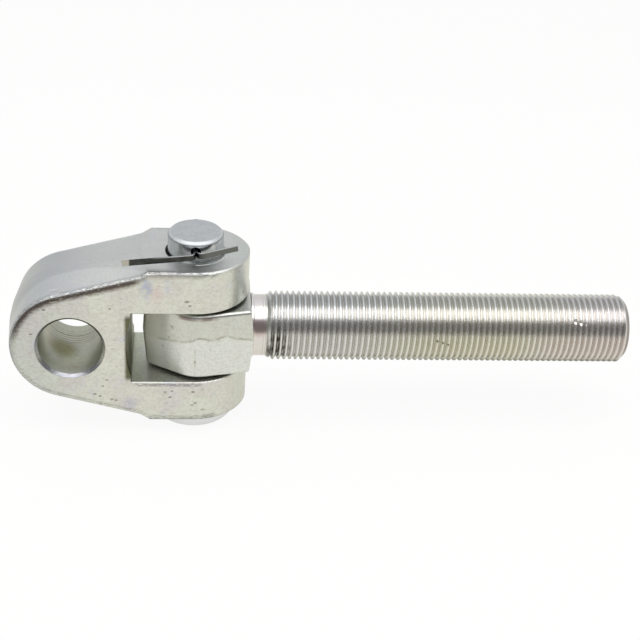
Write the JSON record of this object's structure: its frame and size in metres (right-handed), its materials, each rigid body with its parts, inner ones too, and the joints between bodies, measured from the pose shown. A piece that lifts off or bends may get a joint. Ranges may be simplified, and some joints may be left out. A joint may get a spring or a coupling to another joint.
{
  "type": "clevis rod end",
  "caption": "Forged fork with a cross bore in its nose, joined by a headed pin to the swivelling eye of a long threaded rod; a split pin keeps the pin in.",
  "frame": {"origin": "centre of the cross bore in the fork's nose", "axes": "+X along the rod towards its threaded end, +Y along the cross bore, +Z along the clevis pin towards the split pin's end"},
  "size_m": [0.3206, 0.051, 0.1046],
  "materials": {
    "fork_forging": "zinc plated forging, as forged with milled ear faces and slot",
    "rod_forging": "zinc plated forging, thread and neck turned and bright",
    "pin_bar": "zinc plated turned bar",
    "split_pin_wire": "bare drawn steel wire, darkened"
  },
  "bodies": {
    "fork": {"clevis_body": "fork_forging"},
    "rod": {"threaded_rod": "rod_forging"},
    "pin": {"clevis_pin": "pin_bar", "split_pin": "split_pin_wire"}
  },
  "joints": [
    {"name": "rod_swivel", "type": "hinge", "parent": "fork", "child": "rod", "pos_m": [0.062, 0, 0], "axis": [0, 0, 1], "range_deg": [-110, 110]},
    {"name": "pin_spin", "type": "hinge", "parent": "fork", "child": "pin", "pos_m": [0.062, 0, 0], "axis": [0, 0, 1], "continuous": true}
  ]
}
